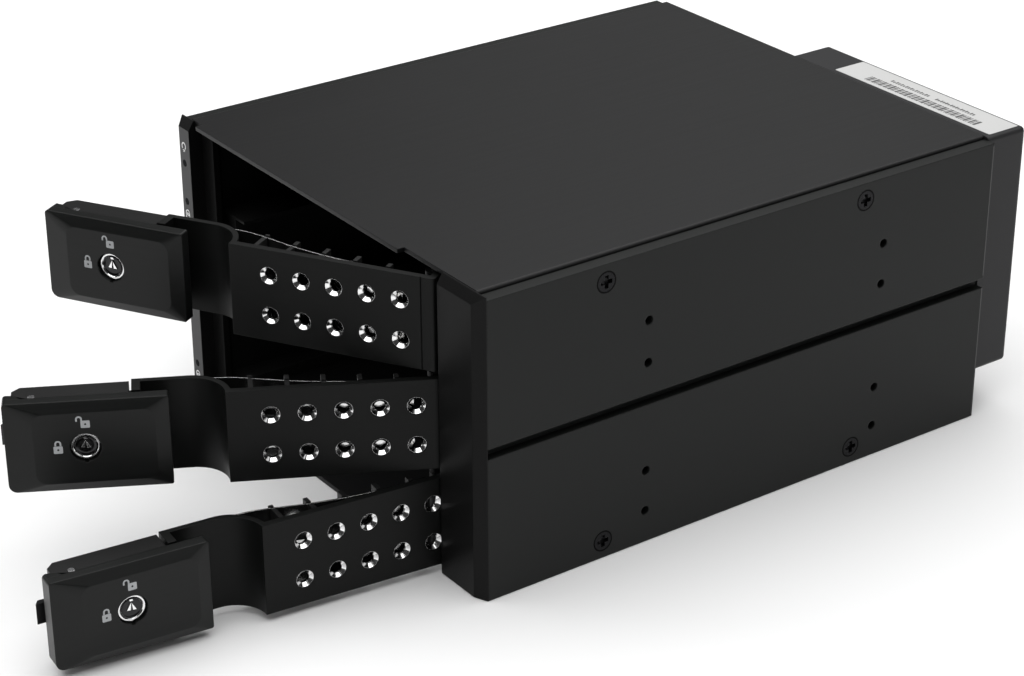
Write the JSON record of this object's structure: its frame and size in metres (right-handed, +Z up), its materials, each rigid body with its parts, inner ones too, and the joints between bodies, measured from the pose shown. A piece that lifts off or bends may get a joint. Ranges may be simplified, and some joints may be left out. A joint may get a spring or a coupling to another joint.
{
  "type": "hot swap drive cage",
  "caption": "Trayless hot swap drive cage: each 3.5 inch bay has a perforated swing door with a bowed leaf spring and a key-locked latch lever; a rear fan shroud cools the stacked bays.",
  "frame": {"origin": "centre of the body's underside, midway over the side plates and midway from the bezel face to the rear of the side plates", "axes": "+X to the right seen from the front, -Y out of the bezel face, +Z up"},
  "size_m": [0.1464, 0.2893, 0.0842],
  "materials": {
    "side_plate": "fine matt black anodised sheet",
    "cover": "brushed black anodised sheet",
    "bezel": "brushed black anodised bezel",
    "door_metal": "brushed black anodised, fine lengthwise grain",
    "led_strip": "satin dark grey",
    "black_screw": "black oxide",
    "bright_screw": "nickel plated",
    "rod_steel": "ground steel",
    "spring_steel": "polished spring steel",
    "lock_chrome": "polished",
    "inner_steel": "black coated sheet",
    "guide_plastic": "black moulded",
    "liner_plastic": "black moulded",
    "housing_plastic": "black moulded, satin",
    "circuit_board": "green solder mask",
    "connector_plastic": "black",
    "data_plastic": "black",
    "power_plastic": "natural white",
    "rear_sheet": "black coated sheet",
    "shroud": "satin black coated",
    "fan_plastic": "black glass-filled",
    "guard_steel": "plated wire",
    "light_pipe": "clear acrylic"
  },
  "bodies": {
    "cage": {"side_plate_right": "side_plate", "side_plate_left": "side_plate", "side_screws": "black_screw", "top_cover": "cover", "bottom_cover": "cover", "post_right": "bezel", "post_left": "led_strip", "led_board": "circuit_board", "light_pipes": "light_pipe", "strike_strip": "inner_steel", "hinge_bracket": "inner_steel", "bracket_screws": "bright_screw", "hinge_rod": "rod_steel", "guide_left": "guide_plastic", "guide_right": "guide_plastic", "backplane_board": "circuit_board", "board_screws": "bright_screw", "drive_connector_1": "connector_plastic", "drive_connector_2": "connector_plastic", "drive_connector_3": "connector_plastic", "data_connectors": "data_plastic", "power_connectors": "power_plastic", "rear_panel": "rear_sheet", "fan_shroud": "shroud", "fan_screws": "bright_screw", "fan_frame": "fan_plastic", "fan_guard": "guard_steel"},
    "fan": {"fan_rotor": "fan_plastic"},
    "door_1": {"door_1_panel": "door_metal", "door_1_liner": "liner_plastic", "door_1_leaf": "spring_steel", "door_1_screws": "bright_screw", "door_1_housing": "housing_plastic", "door_1_pin": "rod_steel"},
    "latch_1": {"latch_1_lever": "door_metal", "latch_1_hook": "rod_steel"},
    "lock_1": {"lock_1_cylinder": "lock_chrome", "lock_1_cam": "rod_steel"},
    "door_2": {"door_2_panel": "door_metal", "door_2_liner": "liner_plastic", "door_2_leaf": "spring_steel", "door_2_screws": "bright_screw", "door_2_housing": "housing_plastic", "door_2_pin": "rod_steel"},
    "latch_2": {"latch_2_lever": "door_metal", "latch_2_hook": "rod_steel"},
    "lock_2": {"lock_2_cylinder": "lock_chrome", "lock_2_cam": "rod_steel"},
    "door_3": {"door_3_panel": "door_metal", "door_3_liner": "liner_plastic", "door_3_leaf": "spring_steel", "door_3_screws": "bright_screw", "door_3_housing": "housing_plastic", "door_3_pin": "rod_steel"},
    "latch_3": {"latch_3_lever": "door_metal", "latch_3_hook": "rod_steel"},
    "lock_3": {"lock_3_cylinder": "lock_chrome", "lock_3_cam": "rod_steel"}
  },
  "joints": [
    {"name": "fan_spin", "type": "hinge", "parent": "cage", "child": "fan", "pos_m": [0.03075, 0.08475, 0.04845], "axis": [0, 1, 0], "continuous": true},
    {"name": "door_1_hinge", "type": "hinge", "parent": "cage", "child": "door_1", "pos_m": [0.0467, -0.07935, 0.0148], "axis": [0, 0, 1], "range_deg": [-83.8, 6.2]},
    {"name": "latch_1_lever", "type": "hinge", "parent": "door_1", "child": "latch_1", "pos_m": [0.03885, -0.17939, 0.0148], "axis": [0, 0, 1], "range_deg": [-25, 0]},
    {"name": "lock_1_key", "type": "hinge", "parent": "latch_1", "child": "lock_1", "pos_m": [0.04497, -0.16748, 0.0148], "axis": [0.9942, -0.108, 0], "range_deg": [0, 90]},
    {"name": "door_2_hinge", "type": "hinge", "parent": "cage", "child": "door_2", "pos_m": [0.0467, -0.07935, 0.0421], "axis": [0, 0, 1], "range_deg": [-61.8, 28.2]},
    {"name": "latch_2_lever", "type": "hinge", "parent": "door_2", "child": "latch_2", "pos_m": [0.00195, -0.16916, 0.0421], "axis": [0, 0, 1], "range_deg": [-25, 0]},
    {"name": "lock_2_key", "type": "hinge", "parent": "latch_2", "child": "lock_2", "pos_m": [0.01208, -0.16041, 0.0421], "axis": [0.8813, -0.4726, 0], "range_deg": [0, 90]},
    {"name": "door_3_hinge", "type": "hinge", "parent": "cage", "child": "door_3", "pos_m": [0.0467, -0.07935, 0.0694], "axis": [0, 0, 1], "range_deg": [-31.6, 58.4]},
    {"name": "latch_3_lever", "type": "hinge", "parent": "door_3", "child": "latch_3", "pos_m": [-0.03716, -0.13446, 0.0694], "axis": [0, 0, 1], "range_deg": [-25, 0]},
    {"name": "lock_3_key", "type": "hinge", "parent": "latch_3", "child": "lock_3", "pos_m": [-0.02399, -0.132, 0.0694], "axis": [0.524, -0.8517, 0], "range_deg": [0, 90]}
  ]
}
